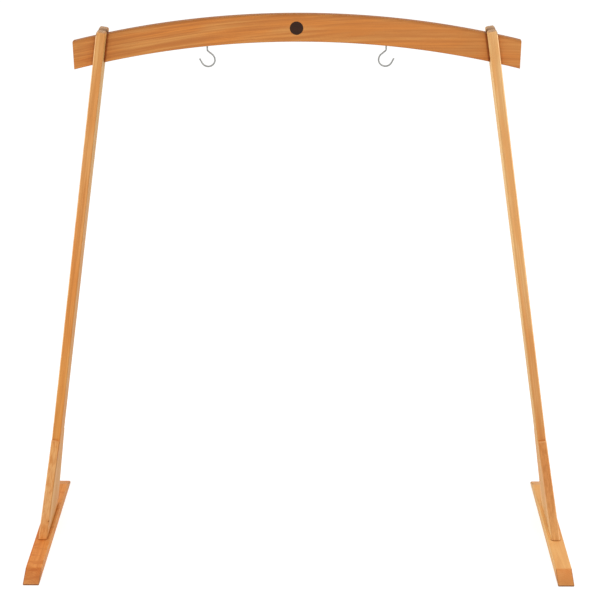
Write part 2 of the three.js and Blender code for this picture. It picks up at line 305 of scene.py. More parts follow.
# %% [markdown]
# ## What beech looks like, as one node group
#
# A board is cut from a tree, so its pattern is solid: the same growth rings make long flame-like lines on
# the broad face, near-parallel lines on the edge, and arcs on the end. An image wrapped round the board
# would break at each edge. A distance from the tree's middle line, the pith, doesn't. The group takes a
# point of the board, with X along the grain, bows and bends it a little, measures how far it is from the
# pith and cuts that into rings.
#
# Beech also has thousands of short dark ray flecks, fine fibres, and broad streaks that are a little redder.
# Some boards show curl, soft bars across the grain. Each board has its own pith, ring width, colours and
# seed, so the group has an input for each of them.

# %% Helpers for masks and colours
def times(tree, *factors):
    """Numbers or masks, multiplied with each other."""
    product = factors[0]
    for factor in factors[1:]:
        product = maths(tree, "MULTIPLY", product, factor)
    return product


def less(tree, first, second):
    """The first number less the second."""
    return maths(tree, "SUBTRACT", first, second)


def between(tree, value, low, high, to_low=0.0, to_high=1.0, smooth=False):
    """Spreads one range of a value over another, and holds it there."""
    kind = "SMOOTHSTEP" if smooth else "LINEAR"
    inputs = {0: value, 1: low, 2: high, 3: to_low, 4: to_high}
    return add(tree, "MapRange", inputs, interpolation_type=kind).outputs[0]


def fades(tree, value, low, high, smooth=False):
    """One below a range of a value, nought above it, and falling within it."""
    return between(tree, value, low, high, 1.0, 0.0, smooth)


def mix_colours(tree, factor, first, second, way="MIX"):
    """Two colours, mixed by a factor."""
    inputs = {0: factor, 6: first, 7: second}
    return add(tree, "Mix", inputs, data_type="RGBA", blend_type=way).outputs[2]


def colour(red, green, blue):
    """A colour as it looks on the screen, 0 to 255, turned into the linear values that a socket takes."""
    def linear(part):
        part = part / 255
        return part / 12.92 if part < 0.04045 else ((part + 0.055) / 1.055) ** 2.4
    return (linear(red), linear(green), linear(blue), 1.0)


# %% Helpers for vectors and noise
def vectors(tree, operation, *sources):
    """One sum on vectors, whose answer is a vector."""
    return add(tree, "VectorMath", dict(enumerate(sources)), operation=operation).outputs[0]


def length(tree, vector):
    """How long a vector is."""
    return add(tree, "VectorMath", {0: vector}, operation="LENGTH").outputs["Value"]


def parts(tree, vector):
    """The X, Y and Z of a vector."""
    return add(tree, "SeparateXYZ", {0: vector}).outputs


def joined(tree, x=0.0, y=0.0, z=0.0):
    """A vector made of three numbers."""
    return add(tree, "CombineXYZ", {0: x, 1: y, 2: z}).outputs[0]


def noise(tree, point, stretch, seed, detail=2.0, rough=0.5):
    """Noise with so many waves to the metre along and across the board, shifted by the board's own seed."""
    shifted = vectors(tree, "ADD", vectors(tree, "MULTIPLY", point, stretch), seed)
    inputs = {"Vector": shifted, "Scale": 1.0, "Detail": detail, "Roughness": rough}
    return add(tree, "TexNoise", inputs).outputs


# %% The beech group's sockets
def start_group(name, inputs, outputs):
    """A shader node group with named sockets. Each input has a name, a kind and a first value."""
    tree = bpy.data.node_groups.new(name, "ShaderNodeTree")
    for label, kind, value in inputs:
        socket = tree.interface.new_socket(label, in_out="INPUT", socket_type="NodeSocket" + kind)
        socket.default_value = value
    for label, kind in outputs:
        tree.interface.new_socket(label, in_out="OUTPUT", socket_type="NodeSocket" + kind)
    entry = tree.nodes.new("NodeGroupInput").outputs
    leave = tree.nodes.new("NodeGroupOutput").inputs
    return tree, entry, leave


beech, entry, leave = start_group(
    "beech board",
    [
        ("Point", "Vector", (0, 0, 0)),
        ("Pith", "Vector", (0, 0.07, 0)),
        ("Ring Width", "Float", 0.0026),
        ("Waviness", "Float", 0.012),
        ("Seed", "Float", 0.0),
        ("Bow", "Float", 0.0),
        ("Fineness", "Float", 90.0),
        ("Light", "Color", colour(214, 144, 82)),
        ("Warm", "Color", colour(214, 136, 70)),
        ("Dark", "Color", colour(178, 104, 48)),
        ("Streak", "Color", colour(196, 118, 60)),
        ("Fleck", "Color", colour(120, 62, 28)),
        ("Ring Strength", "Float", 0.6),
        ("Streak Strength", "Float", 0.5),
        ("Fleck Strength", "Float", 0.5),
        ("Curl Strength", "Float", 0.0),
    ],
    [("Color", "Color"), ("Roughness", "Float"), ("Height", "Float")],
)
print("inputs of the beech board:", [socket.name for socket in entry if socket.name])

# %% The point of the board, bowed and bent
ACROSS_GRAIN = (0.0, 1.0, 1.0)

seed = joined(beech, entry["Seed"], entry["Seed"], entry["Seed"])
along_board = parts(beech, entry["Point"])[0]
bowed = times(beech, along_board, along_board, entry["Bow"])
point = vectors(beech, "ADD", entry["Point"], joined(beech, z=bowed))

bend = noise(beech, point, (1.1, 6.0, 6.0), seed, detail=1.5)["Color"]
bend = vectors(beech, "MULTIPLY", vectors(beech, "SUBTRACT", bend, (0.5, 0.5, 0.5)), ACROSS_GRAIN)
shift = add(beech, "VectorMath", {0: bend, "Scale": entry["Waviness"]}, operation="SCALE").outputs[0]
bent = vectors(beech, "ADD", point, shift)

# %% Growth rings
from_pith = vectors(beech, "MULTIPLY", vectors(beech, "SUBTRACT", bent, entry["Pith"]), ACROSS_GRAIN)
rings = maths(beech, "DIVIDE", length(beech, from_pith), entry["Ring Width"])
rings = maths(beech, "ADD", rings, noise(beech, point, (2.5, 45.0, 45.0), seed)["Fac"])
ring_part = maths(beech, "FRACT", rings)
ring_number = {"W": maths(beech, "FLOOR", rings)}
ring_mood = add(beech, "TexWhiteNoise", ring_number, noise_dimensions="1D").outputs["Value"]
late_wood = times(beech, ring_part, ring_part, fades(beech, ring_part, 0.86, 1.0))
ring_line = times(beech, late_wood, between(beech, ring_mood, 0.0, 1.0, 0.45, 1.6))
ring_line = maths(beech, "MULTIPLY", ring_line, entry["Ring Strength"], clamp=True)

# %% Streaks, clouds and curl
fineness = joined(beech, 3.0, entry["Fineness"], entry["Fineness"])
streaks = noise(beech, bent, fineness, seed, detail=3.0, rough=0.6)["Fac"]
streaks = times(beech, between(beech, streaks, 0.40, 0.64, smooth=True), entry["Streak Strength"])
clouds = between(beech, noise(beech, bent, (4.5, 34.0, 34.0), seed)["Fac"], 0.35, 0.65, smooth=True)
curl = noise(beech, bent, (70.0, 22.0, 22.0), seed, detail=1.0)["Fac"]
curl = times(beech, between(beech, curl, 0.45, 0.70, smooth=True), entry["Curl Strength"])

# %% Fibres and flecks
fibres = noise(beech, point, (16.0, 620.0, 620.0), seed)["Fac"]
fleck_point = vectors(beech, "MULTIPLY", point, (210.0, 1150.0, 1150.0))
fleck_cell = add(beech, "TexVoronoi", {"Vector": fleck_point, "Scale": 1.0}, feature="F1").outputs["Distance"]
fleck_room = between(beech, noise(beech, point, (9.0, 60.0, 60.0), seed)["Fac"], 0.38, 0.60)
flecks = times(beech, fades(beech, fleck_cell, 0.10, 0.30), fleck_room, entry["Fleck Strength"])

# %% The group's colour, gloss and relief
tone = mix_colours(beech, clouds, entry["Light"], entry["Warm"])
tone = mix_colours(beech, ring_line, tone, entry["Dark"])
tone = mix_colours(beech, larger(beech, streaks, curl), tone, entry["Streak"])
tone = mix_colours(beech, between(beech, fibres, 0.35, 0.75, 0.0, 0.22), tone, entry["Dark"])
tone = mix_colours(beech, flecks, tone, entry["Fleck"])
feed(beech, leave["Color"], tone)
gloss = maths(beech, "ADD", between(beech, fibres, 0.3, 0.7, 0.46, 0.58), times(beech, ring_line, 0.10))
feed(beech, leave["Roughness"], maths(beech, "ADD", gloss, times(beech, flecks, 0.15)))
relief = less(beech, times(beech, fibres, 0.5), times(beech, flecks, 0.8))
feed(beech, leave["Height"], less(beech, relief, times(beech, ring_line, 0.3)))
print("beech board:", len(beech.nodes), "nodes")

# %% [markdown]
# ## End grain and rounded edges
#
# The ends of a board drink more oil than its sides, so they are darker and duller. The first group says how
# squarely a surface faces a direction, and the boards use it with their own grain direction. The second
# finds the rounded edges. In a board's own axes the normal of a flat side lies along one axis, so its
# largest part is one, while on a rounded edge it lies between two axes and its largest part is smaller.
# Broken up with noise, that is a mask of the edges, for their wear and their painted highlight and shade.

# %% The facing group
facing, entry, leave = start_group(
    "facing mask",
    [
        ("Normal", "Vector", (0, 0, 1)),
        ("Direction", "Vector", (1, 0, 0)),
        ("From", "Float", 0.6),
        ("To", "Float", 0.95),
    ],
    [("One Side", "Float"), ("Both Sides", "Float")],
)
dot = add(facing, "VectorMath", {0: entry["Normal"], 1: entry["Direction"]}, operation="DOT_PRODUCT")
dot = dot.outputs["Value"]
either = maths(facing, "ABSOLUTE", dot)
feed(facing, leave["One Side"], between(facing, dot, entry["From"], entry["To"], smooth=True))
feed(facing, leave["Both Sides"], between(facing, either, entry["From"], entry["To"], smooth=True))

# %% The edge group
edge_wear_and_light, entry, leave = start_group(
    "edge wear and light",
    [("Point", "Vector", (0, 0, 0)), ("Board Normal", "Vector", (0, 0, 1)), ("Patchiness", "Float", 30.0)],
    [("Mask", "Float")],
)
along, across, through = parts(edge_wear_and_light, vectors(edge_wear_and_light, "ABSOLUTE", entry["Board Normal"]))
largest = larger(edge_wear_and_light, along, larger(edge_wear_and_light, across, through))
rim = between(edge_wear_and_light, largest, 0.935, 0.86, smooth=True)
patches = {"Vector": entry["Point"], "Scale": entry["Patchiness"], "Detail": 3.0}
patches = add(edge_wear_and_light, "TexNoise", patches).outputs["Fac"]
feed(edge_wear_and_light, leave["Mask"], times(edge_wear_and_light, rim, between(edge_wear_and_light, patches, 0.35, 0.60, 0.45, 1.0)))
print("groups:", [tree.name for tree in bpy.data.node_groups])

# %% [markdown]
# ## Oiled beech, board by board
#
# Each board's material has the same layers: object coordinates turned so that X runs along the grain, the
# beech group with that board's colours, end grain, rounded edges with their wear and their painted highlight
# or shade, and one Principled BSDF with a satin oil finish. The Mapping node is of the Texture kind, which
# undoes a place and a turn, so it takes the board's own middle and its own lean.
#
# A board's rounded edges take one of two tones, by the way that they face. On the legs, those that face away
# from the stand's middle get a painted highlight, and those that face inwards get painted shade. The feet have
# it faintly the other way round, and all the crossbar's edges are darker than its face.
# Whatever only one kind of board has comes as a function that adds its own layers to the colour, before the
# edges are worn or after. Most layers are tints, which multiply a colour: parts under 255 darken it, and
# parts over 255 lighten it.

# %% Helpers for a material's layers
def set_group(tree, group, **inputs):
    """Places a node group and sets its inputs, whose names are written with underscores."""
    made = add(tree, "Group", node_tree=group)
    for name, source in inputs.items():
        feed(tree, made.inputs[name.replace("_", " ").title()], source)
    return made.outputs


def faces(tree, normal, direction, start, end, sides="One Side"):
    """A mask of where a surface faces a direction."""
    inputs = {"normal": normal, "direction": direction, "from": start, "to": end}
    return set_group(tree, facing, **inputs)[sides]


def tint(tree, mask, tone, multiplier):
    """Multiplies a colour, where a mask says so."""
    return mix_colours(tree, mask, tone, multiplier, "MULTIPLY")


# %% A function that makes one board's material
PORE_DEPTH = 0.00025
OIL_SHINE = 0.18
END_DULLNESS = 0.15


def oiled_beech(name, middle, turn, figure, edges, end_tone, before=None, after=None):
    """A satin oiled board, whose turn takes X to its grain.

    The edges are a direction, the tone of the edges that face it, the tone of the others, and a strength.
    """
    material = bpy.data.materials.new(name)
    material.use_nodes = True
    tree = material.node_tree
    tree.nodes.clear()
    place = add(tree, "TexCoord").outputs
    point, normal = place["Object"], place["Normal"]
    mapping = {"Vector": point, "Location": middle, "Rotation": turn}
    board_point = add(tree, "Mapping", mapping, vector_type="TEXTURE").outputs[0]
    wood = set_group(tree, beech, point=board_point, **figure)

    grain = tuple(Matrix.Rotation(turn[2], 3, "Z") @ Matrix.Rotation(turn[1], 3, "Y") @ Vector((1, 0, 0)))
    ends = faces(tree, normal, grain, 0.6, 0.95, "Both Sides")
    tone = tint(tree, ends, wood["Color"], end_tone)
    if before:
        tone = before(tree, point, normal, board_point, tone)

    direction, outward_tone, inward_tone, strength = edges
    # The edges' tones: on the legs and feet, a painted highlight on one side and painted shade on the other.
    edge_light_and_shade = mix_colours(tree, faces(tree, normal, direction, -0.25, 0.25), inward_tone, outward_tone)
    turned = add(tree, "Mapping", {"Vector": normal, "Rotation": turn}, vector_type="TEXTURE").outputs[0]
    wear = set_group(tree, edge_wear_and_light, point=board_point, board_normal=turned)["Mask"]
    tone = mix_colours(tree, times(tree, wear, strength), tone, edge_light_and_shade)
    if after:
        tone = after(tree, point, normal, board_point, tone)

    rough = maths(tree, "ADD", wood["Roughness"], times(tree, ends, END_DULLNESS))
    relief = add(tree, "Bump", {"Height": wood["Height"], "Distance": PORE_DEPTH, "Strength": 0.6})
    surface = {"Base Color": tone, "Roughness": rough, "Normal": relief.outputs[0]}
    surface["Specular IOR Level"] = OIL_SHINE
    shader = add(tree, "BsdfPrincipled", surface)
    add(tree, "OutputMaterial", {"Surface": shader.outputs[0]})
    return material


# %% [markdown]
# ## The crossbar's own layers
#
# The crossbar is browner than the legs. The plank it was sawn from did not grow dead straight, so its
# streaks climb to the right on the left half, and run level and fainter on the right. Dust and oil have
# settled on its top edge, which is found by the way that it faces. Two things are painted onto the board by
# position: a faint line just under that edge, and thin dark lines of painted shadow beside each pole, where
# the pole stands in front of the face. A pole's sides are slanting planes, so each of those lines is a range
# of the distance from one.
#
# Here and below, a span gives the two places between which a mask comes in, or fades.

# %% The crossbar's layers
CALM_SPAN = (-0.30, 0.45)
CALM_STRENGTH = 0.35
TOP_LINE_SPAN = (CROSSBAR_TOP_RADIUS - 0.0085, CROSSBAR_TOP_RADIUS - 0.0045)
INNER_SHADOW_SPANS = ((-0.0100, -0.0025), (0.002, 0.004))
OUTER_SHADOW_SPANS = ((0.0, 0.002), (0.0055, 0.0095))

dusty_top = colour(236, 228, 186)
calm_brown = colour(190, 122, 62)
top_line_tone = colour(238, 233, 229)
# Painted shadow beside each pole, darker on its inner side.
inner_shadow_tone = colour(178, 142, 94)
outer_shadow_tone = colour(236, 232, 226)


def crossbar_layers(tree, point, normal, board_point, tone):
    """Calms the right half, darkens the top edge, and paints the shadows beside the poles."""
    tone = tint(tree, faces(tree, normal, (0, 0, 1), 0.5, 0.9), tone, dusty_top)
    across, _, up = parts(tree, point)
    tone = mix_colours(tree, between(tree, across, *CALM_SPAN, 0.0, CALM_STRENGTH), tone, calm_brown)
    radius = length(tree, joined(tree, x=across, z=less(tree, up, arc_z)))
    tone = tint(tree, between(tree, radius, *TOP_LINE_SPAN), tone, top_line_tone)

    # Painted shadow: a dark line on the face just inside each pole, and a fainter one just outside it.
    pole_face = less(tree, pole_x(0.0) - pole_level_half, times(tree, up, math.tan(lean)))
    past = less(tree, maths(tree, "ABSOLUTE", across), pole_face)
    comes, goes = INNER_SHADOW_SPANS
    inner_shadow = times(tree, between(tree, past, *comes, smooth=True), fades(tree, past, *goes))
    tone = tint(tree, inner_shadow, tone, inner_shadow_tone)
    beyond = less(tree, past, 2 * pole_level_half)
    comes, goes = OUTER_SHADOW_SPANS
    outer_shadow = times(tree, between(tree, beyond, *comes), fades(tree, beyond, *goes))
    return tint(tree, outer_shadow, tone, outer_shadow_tone)


# %% The crossbar's material
PLANK_RISE = math.radians(4.2)

crossbar_wood = oiled_beech(
    "crossbar beech",
    middle=(0, LEG_SETBACK, arc_z + under_radius),
    turn=(0, -PLANK_RISE, 0),
    figure={
        "pith": (0, 0.075, 0.012), "ring_width": 0.0042, "waviness": 0.018, "seed": 47.6, "bow": 0.085,
        "fineness": 130.0, "light": colour(210, 146, 79), "warm": colour(212, 133, 61),
        "dark": colour(166, 95, 42), "streak": colour(182, 110, 52), "ring_strength": 0.55,
        "streak_strength": 0.8, "fleck_strength": 0.45,
    },
    edges=((0, 0, 1), colour(164, 106, 44), colour(150, 90, 38), 0.7),
    end_tone=colour(214, 206, 200),
    before=crossbar_layers,
)
print(crossbar_wood.name, len(crossbar_wood.node_tree.nodes), "nodes")

# %% [markdown]
# ## The legs' wood
#
# The left leg is redder, and the right one paler and yellower, as on the real stand. Each pole has one tone
# that comes in towards its foot and another that comes in towards its top, and its inner side, which is seen
# at a slant, gets its own painted light and sheen. Its top is speckled end grain with a rim that has soaked
# up oil, and its slot is painted with shade, darkest deep down.
#
# The wedges were cut from another board. They too change towards their tops and towards their toes, and their
# inner sides get painted light. The left ones have a darker line of painted shade where the front meets the
# inner side, and one of them has a small knot.

# %% Helpers for the legs' layers
def inner_side_light(tree, normal, side, tone, multiplier):
    """Paints the light and sheen on the faces of a leg or foot that look towards the stand's middle."""
    return tint(tree, faces(tree, normal, (-side, 0, 0), 0.55, 0.95), tone, multiplier)


def along_leg(tree, board_point):
    """How far up the leg a point is, from the foot's top."""
    return maths(tree, "ADD", parts(tree, board_point)[0], POLE_LENGTH / 2)


# %% The poles' sawn tops and slots
SAWN_SPAN = (POLE_LENGTH - 0.012, POLE_LENGTH - 0.007)
RIM_SPAN = (POLE_LENGTH - 0.015, POLE_LENGTH - 0.011)
SLOT_WALL_SPAN = (CROSSBAR_THICKNESS / 2 + 0.0006, CROSSBAR_THICKNESS / 2 + 0.0012)
SLOT_FLOOR_SPAN = (slot_floor - 0.002, slot_floor)

pole_top = FOOT_THICKNESS + POLE_LENGTH * math.cos(lean)
slot_rim_span = (pole_top - 0.012, pole_top - 0.002)
pale_pores = colour(224, 180, 138)
dark_pores = colour(156, 120, 86)
top_rim = colour(190, 184, 184)
# Painted shade in the slot: paler near its top, darkest deep down.
slot_top_shade = colour(190, 156, 124)
slot_deep_shade = colour(110, 74, 46)


def sawn_top(tree, point, normal, reach, tone):
    """Shows the open pores of the end grain on a pole's top."""
    specks = add(tree, "TexNoise", {"Vector": point, "Scale": 420.0, "Detail": 2.0}).outputs["Fac"]
    specks = mix_colours(tree, between(tree, specks, 0.42, 0.60), pale_pores, dark_pores)
    sawn = times(tree, between(tree, reach, *SAWN_SPAN), faces(tree, normal, (0, 0, 1), 0.35, 0.75), 0.9)
    return mix_colours(tree, sawn, tone, specks)


def shaded_slot(tree, point, tone):
    """Paints shade on the cheeks and the floor of the slot, most of all deep down."""
    _, back, up = parts(tree, point)
    depth = maths(tree, "ABSOLUTE", less(tree, back, LEG_SETBACK))
    in_slot = times(tree, fades(tree, depth, *SLOT_WALL_SPAN), between(tree, up, *SLOT_FLOOR_SPAN))
    slot_shade_tone = mix_colours(tree, between(tree, up, *slot_rim_span), slot_deep_shade, slot_top_shade)
    return mix_colours(tree, in_slot, tone, slot_shade_tone)


def oiled_top(side):
    """A layer that darkens the rounded rim of a pole's top at its outer side and its back."""
    def layers(tree, point, normal, board_point, tone):
        sideways, backwards, _ = parts(tree, normal)
        rim = between(tree, larger(tree, times(tree, sideways, side), backwards), 0.2, 0.5)
        near_top = between(tree, along_leg(tree, board_point), *RIM_SPAN)
        return tint(tree, times(tree, rim, near_top), tone, top_rim)
    return layers


# %% The poles' layers
LOW_SPAN = (1.158, 0.158)
HIGH_SPAN = (1.058, 1.758)
INNER_SPAN = (0.408, 1.208)


def pole_layers(side, look):
    """Layers that tone a pole along its length, paint light on its inner side and shade in its slot, and show
    its sawn top.
    """
    def layers(tree, point, normal, board_point, tone):
        reach = along_leg(tree, board_point)
        tone = tint(tree, between(tree, reach, *LOW_SPAN), tone, look["low"])
        tone = tint(tree, between(tree, reach, *HIGH_SPAN), tone, look["high"])
        inner_light_tone = mix_colours(tree, between(tree, reach, *INNER_SPAN), *look["inner"])
        tone = inner_side_light(tree, normal, side, tone, inner_light_tone)
        tone = sawn_top(tree, point, normal, reach, tone)
        return shaded_slot(tree, point, tone)
    return layers


# %% The wedges' layers
WEDGE_TOP_SPAN = (0.20, WEDGE_LENGTH)
CREST_SPAN = (0.05, 0.25)
KNOT_PLACE = (-0.8828, -0.0925, 0.0975)
KNOT_SPAN = (0.0018, 0.0040)

knot_tone = colour(176, 128, 74)


def wedge_layers(side, look):
    """Layers that tone a wedge near its ends, paint light on its inner side and shade beside it, and add a
    knot.
    """
    def layers(tree, point, normal, board_point, tone):
        reach = along_leg(tree, board_point)
        tone = tint(tree, between(tree, reach, *WEDGE_TOP_SPAN), tone, look["wedge_top"])
        tone = tint(tree, fades(tree, reach, 0.0, look["wedge_low_reach"]), tone, look["wedge_low"])
        tone = inner_side_light(tree, normal, side, tone, look["wedge_inner"])
        # Painted shade along the line where the front meets the inner side.
        crest = faces(tree, normal, (-side * 0.78, -0.62, 0), 0.93, 0.985)
        tone = tint(tree, times(tree, crest, between(tree, reach, *CREST_SPAN)), tone, look["crest"])
        from_knot = length(tree, vectors(tree, "SUBTRACT", point, KNOT_PLACE))
        return tint(tree, fades(tree, from_knot, *KNOT_SPAN), tone, knot_tone)
    return layers


# %% The legs' colours
def wood_tones(light, warm, dark, streak, rings, streaks, **others):
    """The colours and strengths that a board gives to the beech group."""
    tones = {"light": colour(*light), "warm": colour(*warm), "dark": colour(*dark), "streak": colour(*streak)}
    return dict(tones, ring_strength=rings, streak_strength=streaks, **others)


# Painted highlight for the rounded edges that a side lamp would catch, and painted shade for the others.
painted_edge_highlight = colour(252, 206, 150)
painted_edge_shade = {-1: colour(186, 120, 62), 1: colour(212, 158, 98)}
end_oil = colour(204, 198, 194)
as_it_is = colour(255, 255, 255)
# Each leg's tints; the inner ones are the painted light and sheen of the inner sides.
leg_looks = {
    -1: {
        "pole": wood_tones((222, 156, 88), (219, 140, 69), (180, 106, 46), (196, 122, 58), 0.6, 0.8),
        "low": colour(260, 274, 262), "high": colour(258, 280, 308),
        "inner": (colour(238, 240, 230), colour(240, 262, 264)),
        "wedge": wood_tones((226, 176, 118), (225, 169, 107), (180, 106, 46), (196, 122, 58), 0.3, 0.6),
        "wedge_end": colour(255, 250, 244), "wedge_top": colour(252, 238, 214),
        "wedge_low": colour(254, 226, 186), "wedge_low_reach": 0.11,
        "wedge_inner": colour(243, 246, 228), "crest": colour(192, 176, 152),
    },
    1: {
        "pole": wood_tones((229, 185, 126), (225, 163, 97), (192, 132, 74), (208, 152, 92), 0.6, 0.8),
        "low": colour(234, 200, 162), "high": as_it_is,
        "inner": (colour(282, 318, 330), colour(286, 304, 304)),
        "wedge": wood_tones((214, 146, 84), (210, 138, 74), (166, 98, 46), (188, 120, 62), 0.6, 0.8),
        "wedge_end": colour(262, 256, 250), "wedge_top": colour(255, 252, 244),
        "wedge_low": colour(273, 302, 326), "wedge_low_reach": 0.20,
        "wedge_inner": colour(284, 300, 300), "crest": as_it_is,
    },
}

# %% The poles' and wedges' materials
POLE_GRAIN = {"fineness": 190.0, "ring_width": 0.0030, "waviness": 0.012}
WEDGE_GRAIN = {"fineness": 190.0, "ring_width": 0.0034, "waviness": 0.010}

pole_wood = {}
wedge_wood = {}
for label, side in SIDES:
    look = leg_looks[side]
    halfway_x = foot_x - POLE_LENGTH / 2 * math.sin(lean)
    halfway_z = FOOT_THICKNESS + POLE_LENGTH / 2 * math.cos(lean)
    turn = (0, -(math.pi / 2 + side * lean), 0)
    board = {"middle": (side * halfway_x, LEG_SETBACK, halfway_z), "turn": turn}
    figure = dict(look["pole"], **POLE_GRAIN, pith=(0, 0.02, -side * 0.09), seed=11.3 + side)
    pole_wood[side] = oiled_beech(
        f"{label} pole beech", figure=figure, edges=((side, 0, 0), painted_edge_highlight, painted_edge_shade[side], 0.85),
        end_tone=end_oil, before=pole_layers(side, look), after=oiled_top(side), **board,
    )
    figure = dict(look["wedge"], **WEDGE_GRAIN, pith=(0, -0.05, side * 0.07), seed=19.1 + side)
    wedge_wood[side] = oiled_beech(
        f"{label} wedge beech", figure=figure, edges=((side, 0, 0), painted_edge_highlight, painted_edge_shade[side], 0.5),
        end_tone=look["wedge_end"], before=wedge_layers(side, look), **board,
    )
print("leg woods:", len(pole_wood) + len(wedge_wood))

# %% [markdown]
# ## The feet's wood
#
# The left foot is the reddest board, with a strong curl, and the right one is pale. The planed ends cut
# across the grain and slope away from the light above, so they are darker, partly by their grain and partly
# by painted shade, most of all along their rims, and change a little from their crest to their tip. Painted
# light lifts the rear ones, and the feet's inner sides. On the top, the strip on the inner side of the leg
# gets painted light, where the leg's shade would fall too deep. A thin line of painted contact shadow shows
# where the leg stands on the foot: all round the left leg, and only at the toe of the right one. That line
# is a range of the distance from the leg's base, which is a rectangle with rounded corners.

# %% The feet's planed ends
PLANED_SPAN = (foot_flat - 0.001, foot_flat + 0.003)
REAR_SPAN = (0.0, 0.01)

planed_rim = colour(176, 160, 140)


def planed_ends(tree, back, sideways, side, tone, look):
    """Tones a foot's bevels, crest to tip, with grain and painted shade and light, and darkens their rims."""
    from_middle = maths(tree, "ABSOLUTE", back)
    planed = between(tree, from_middle, *PLANED_SPAN)
    # The bevels slope away from the light above, so their tint is partly painted shade.
    to_tip = between(tree, from_middle, foot_flat, foot_tip)
    bevel_tone_and_shade = mix_colours(tree, to_tip, look["crest"], look["tip"])
    # Painted light lifts the rear bevels, which the front lamps reach less.
    bevel_tone_and_shade = mix_colours(tree, between(tree, back, *REAR_SPAN), bevel_tone_and_shade, look["rear"])
    tone = tint(tree, planed, tone, bevel_tone_and_shade)
    outward = times(tree, sideways, side)
    rim = between(tree, outward, 0.06, 0.35, smooth=True)
    rim = larger(tree, rim, between(tree, outward, -0.25, -0.50, smooth=True))
    not_side = fades(tree, maths(tree, "ABSOLUTE", sideways), 0.80, 0.95)
    return tint(tree, times(tree, planed, rim, not_side), tone, planed_rim)


# %% The feet's tops, beside the legs
STRIP_EDGE_SPAN = (0.008, 0.016)
STRIP_END_SPAN = (0.09, 0.15)
CONTACT_SHADOW_SPAN = (0.0015, 0.0060)
CONTACT_SHADOW_FADE = 0.004


def leg_distance(tree, beyond, reach):
    """How far a point of the foot's top is from the base of the leg that stands on it."""
    half_width = POLE_THICKNESS / 2 - WEDGE_EDGE_ROUND
    half_length = half_pole + WEDGE_BASE_DEPTH - WEDGE_EDGE_ROUND
    past_side = larger(tree, less(tree, maths(tree, "ABSOLUTE", beyond), half_width), 0.0)
    past_end = larger(tree, less(tree, reach, half_length), 0.0)
    return less(tree, length(tree, joined(tree, x=past_side, y=past_end)), WEDGE_EDGE_ROUND)


def foot_layers(side, look):
    """Layers for a foot: its planed ends, painted light on its inner side, and painted light and contact
    shadow by its leg.
    """
    def layers(tree, point, normal, board_point, tone):
        across, back, _ = parts(tree, point)
        sideways, _, upright = parts(tree, normal)
        tone = inner_side_light(tree, normal, side, tone, look["inner"])
        tone = planed_ends(tree, back, sideways, side, tone, look)

        top_face = between(tree, upright, 0.3, 0.7)
        beyond = less(tree, across, side * foot_x)
        forward = less(tree, LEG_SETBACK, back)
        reach = maths(tree, "ABSOLUTE", forward)
        # Painted light on the top's strip beside the leg's inner side, where the leg's shade would fall too
        # deep.
        lit_strip = between(tree, times(tree, beyond, -side), *STRIP_EDGE_SPAN)
        lit_strip = times(tree, lit_strip, fades(tree, reach, *STRIP_END_SPAN, smooth=True), top_face)
        tone = tint(tree, lit_strip, tone, look["lit_strip"])
        # Painted contact shadow: a thin dark line round the leg's base on the foot's top.
        contact_shadow = fades(tree, leg_distance(tree, beyond, reach), *CONTACT_SHADOW_SPAN, smooth=True)
        start = look["contact_shadow_start"]
        contact_shadow = times(tree, contact_shadow, between(tree, forward, start - CONTACT_SHADOW_FADE, start + CONTACT_SHADOW_FADE), top_face)
        return tint(tree, contact_shadow, tone, look["contact_shadow"])
    return layers


# %% The feet's materials
FOOT_GRAIN = {"pith": (0, 0.01, -0.06), "ring_width": 0.0030, "waviness": 0.016}

# Each foot's tints, with the painted light on its inner side and beside its leg, and its painted contact
# shadow.
foot_looks = {
    -1: {
        "wood": wood_tones(
            (228, 150, 76), (224, 140, 66), (190, 106, 44), (204, 120, 54), 0.5, 0.5, fleck_strength=0.5,
            curl_strength=0.9,
        ),
        "crest": colour(232, 216, 204), "tip": colour(233, 238, 260), "rear": colour(248, 250, 226),
        "inner": colour(248, 262, 258), "lit_strip": colour(262, 294, 338),
        "contact_shadow": colour(220, 198, 166), "contact_shadow_start": -0.2,
    },
    1: {
        "wood": wood_tones(
            (234, 179, 112), (230, 168, 99), (206, 138, 74), (224, 160, 92), 0.4, 0.5, fleck_strength=0.4,
            curl_strength=0.15,
        ),
        "crest": colour(236, 209, 190), "tip": colour(216, 198, 183), "rear": colour(250, 246, 242),
        "inner": colour(262, 276, 280), "lit_strip": colour(276, 302, 322),
        "contact_shadow": colour(206, 188, 164), "contact_shadow_start": 0.113,
    },
}
foot_wood = {}
for label, side in SIDES:
    look = foot_looks[side]
    foot_wood[side] = oiled_beech(
        f"{label} foot beech", middle=(side * foot_x, 0, FOOT_THICKNESS / 2), turn=(0, 0, math.pi / 2),
        figure=dict(look["wood"], **FOOT_GRAIN, seed=27.9 + side),
        edges=((side, 0, 0), painted_edge_shade[side], painted_edge_highlight, 0.15), end_tone=colour(176, 168, 164),
        before=foot_layers(side, look),
    )
print("foot woods:", len(foot_wood))

# %% [markdown]
# ## Dark wood, zinc and brass
#
# The inlay is a dark hardwood plug, so it uses the beech group again with dark brown tones and finer rings.
# The hooks, bolts and washers are steel with a thin bright layer of zinc, which is a metal with a slightly
# uneven gloss and a faint grey mottle. The inserts in the legs' ends are plain turned brass.

# %% The inlay's and the metals' materials
inlay_wood = oiled_beech(
    "dark inlay wood",
    middle=(0, LEG_SETBACK, crossbar_z),
    turn=(0, 0, 0),
    figure=wood_tones(
        (58, 31, 15), (52, 27, 13), (34, 17, 9), (44, 25, 15), 0.8, 0.6, fleck=colour(24, 14, 10),
        fleck_strength=0.4, pith=(0, 0.05, 0.0), ring_width=0.0016, waviness=0.004, seed=41.0,
    ),
    edges=((0, 0, 1), colour(92, 64, 54), colour(92, 64, 54), 0.5),
    end_tone=colour(200, 190, 180),
)


